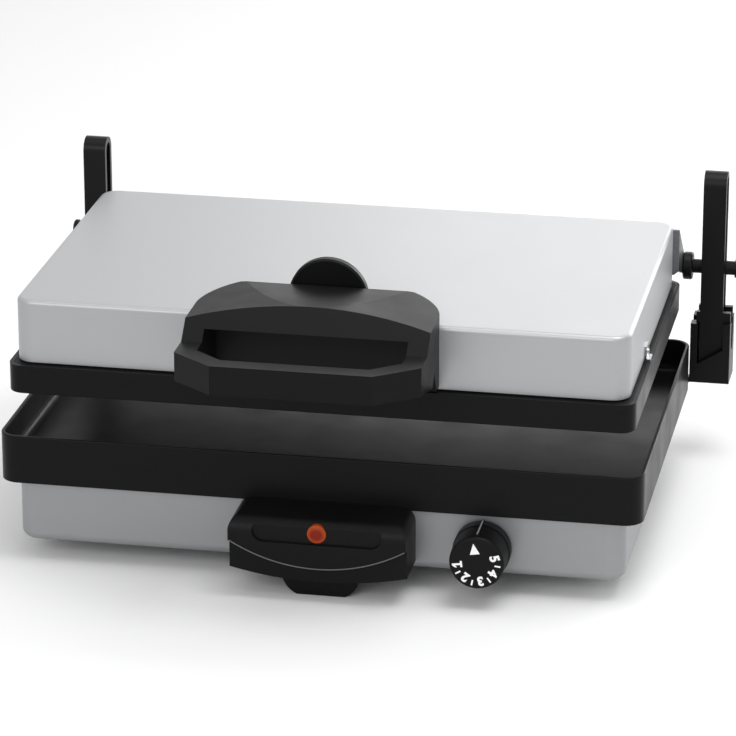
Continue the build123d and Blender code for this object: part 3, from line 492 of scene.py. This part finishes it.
def makeDial():
    # digits, dashes and pointer printed on the front face of the knob
    low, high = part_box("knob")
    centre = np.array(((low[0] + high[0]) / 2, low[1], low[2] + dial["axisHeight"]))
    height = dial["digitHeight"]
    figures = []
    for k in range(dial["figures"]):
        figure = digitMesh(str(k + 1), height) if k else figureOne(height)
        figures.append((figure, dial["firstAngle"] + k * dial["step"], dial["radius"]))
    for k in range(dial["figures"] - 1):
        between = dial["firstAngle"] + (k + 0.5) * dial["step"]
        figures.append((dashFigure(), between, dial["dashRadius"]))
    figures.append((pointerFigure(), dial["pointerAngle"], dial["pointerRadius"]))
    points, faces, count = [], [], 0
    for (shape, shapeFaces), angle, radius in figures:
        points.append(turned(shape, math.radians(angle), radius) + centre)
        faces += [[i + count for i in f] for f in shapeFaces]
        count += len(shape)
    meshPiece("dial_print", np.vstack(points), faces, printInk, "temperature_knob")


def makeNoseLine():
    # a bead of painted highlight that follows the round lower edge of the control moulding's nose
    low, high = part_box("lower_handle")
    middle = (low[0] + high[0]) / 2
    half = (high[0] - low[0]) / 2
    away = half * np.linspace(-noseLine["share"], noseLine["share"], noseLine["points"])
    # z: a circle through the low in the middle and the rise at both ends
    radius = (half ** 2 + noseLine["rise"] ** 2) / (2 * noseLine["rise"])
    z = noseLine["low"] + radius - np.sqrt(radius ** 2 - away ** 2)
    # y: the front leans by the slope over the fall, nought at the reach above the low
    y = low[1] + noseLine["slope"] * (noseLine["low"] + noseLine["reach"] - z) / noseLine["fall"]
    points, faces = bead(np.column_stack((middle + away, y, z)), noseLine["radius"])
    meshPiece("nose_line", points, faces, paintedHighlight, "base")


def makeGripLine():
    # a bead of painted highlight along the lower edge of the grip bar
    points = meshPoints(nodes["lid_handle"].data)
    front = points[:, 1].min()
    bar = points[points[:, 1] < front + gripLine["frontBand"]]
    low, left, right = bar[:, 2].min(), bar[:, 0].min(), bar[:, 0].max()
    ends = points[:, 0].min(), points[:, 0].max()
    inset = gripLine["inset"]
    y = front + inset
    rear = y + gripLine["bevelDepth"]
    z = low + gripLine["lift"]
    corners = [(ends[0] + inset, rear, z), (left + inset / 2, y, z),
               (right - inset / 2, y, z), (ends[1] - inset, rear, z)]
    points, faces = bead(straightPath(corners), gripLine["radius"])
    meshPiece("grip_line", points, faces, paintedHighlight, "lid")


def makeKnobLine():
    # a pale line painted along the top of the knob's pointer rib
    points = meshPoints(nodes["knob"].data)
    top = points[:, 2].max()
    rib = points[points[:, 2] > top - knobLine["topBand"]]
    middle = (rib[:, 0].min() + rib[:, 0].max()) / 2
    half = knobLine["width"] / 2
    low = (middle - half, rib[:, 1].min() + knobLine["margin"], top - knobLine["sunk"])
    high = (middle + half, rib[:, 1].max() - knobLine["margin"], top + knobLine["thickness"])
    points, faces = boxMesh(low, high)
    meshPiece("knob_line", points, faces, linePaint, "temperature_knob")


makeDial()
print("dial printed")
makeNoseLine()
makeGripLine()
makeKnobLine()
print("parting lines and pointer line laid")

# Studio: pale floor, soft lights, white around the object
floorMaterial, floorTree, floorOutput = newMaterial("pale floor")
floorShader = addNode(floorTree, "ShaderNodeBsdfPrincipled",
                      {"Base Color": linearColour(colours["floor"]),
                       "Roughness": studio["floorRoughness"], "Specular IOR Level": 0.0})
floorTree.links.new(floorShader.outputs["BSDF"], floorOutput.inputs["Surface"])
reach = studio["floorHalf"]
floorMesh = bpy.data.meshes.new("floor")
floorMesh.from_pydata([(-reach, -reach, 0), (reach, -reach, 0), (reach, reach, 0),
                       (-reach, reach, 0)], [], [(0, 1, 2, 3)])
floorMesh.materials.append(floorMaterial)
floor = bpy.data.objects.new("floor", floorMesh)
bpy.context.scene.collection.objects.link(floor)

# White to the camera and in reflections, weaker where it lights the object
world = bpy.data.worlds.new("studio")
world.use_nodes = True
bpy.context.scene.world = world
worldTree = world.node_tree
worldTree.nodes.clear()
path = addNode(worldTree, "ShaderNodeLightPath")
seen = addNode(worldTree, "ShaderNodeMath", {"operation": "MAXIMUM"},
               {0: path.outputs["Is Camera Ray"], 1: path.outputs["Is Glossy Ray"]})
clear = addNode(worldTree, "ShaderNodeMath", {"operation": "MAXIMUM"},
                {0: seen.outputs["Value"], 1: path.outputs["Is Transmission Ray"]})
strength = addNode(worldTree, "ShaderNodeMapRange",
                   {"To Min": studio["ambient"], "To Max": studio["white"]},
                   {"Value": clear.outputs["Value"]})
sky = addNode(worldTree, "ShaderNodeBackground", {"Color": (1, 1, 1, 1)},
              {"Strength": strength.outputs["Result"]})
worldOutput = addNode(worldTree, "ShaderNodeOutputWorld")
worldTree.links.new(sky.outputs["Background"], worldOutput.inputs["Surface"])


def softBox(name, place, target, width, height, power):
    # a rectangular lamp that faces its target
    lamp = bpy.data.lights.new(name, "AREA")
    lamp.shape = "RECTANGLE"
    lamp.size = width
    lamp.size_y = height
    lamp.energy = power
    holder = bpy.data.objects.new(name, lamp)
    holder.location = place
    facing = Vector(target) - Vector(place)
    holder.rotation_euler = facing.to_track_quat("-Z", "Y").to_euler()
    bpy.context.scene.collection.objects.link(holder)


for name, settings in softBoxes.items():
    softBox(name, **settings)

cameraData = bpy.data.cameras.new("camera")
cameraData.sensor_width = camera["sensor"]
cameraData.lens = camera["focalPixels"] * camera["sensor"] / camera["picture"]
cameraData.clip_start = camera["nearest"]
cameraData.clip_end = camera["farthest"]
cameraObject = bpy.data.objects.new("camera", cameraData)
cameraObject.location = camera["place"]
cameraObject.rotation_euler = (math.radians(90 - camera["elevation"]), 0,
                               math.radians(camera["azimuth"]))
bpy.context.scene.collection.objects.link(cameraObject)
bpy.context.scene.camera = cameraObject
bpy.context.scene.view_settings.view_transform = "Standard"
print("studio and camera ready")
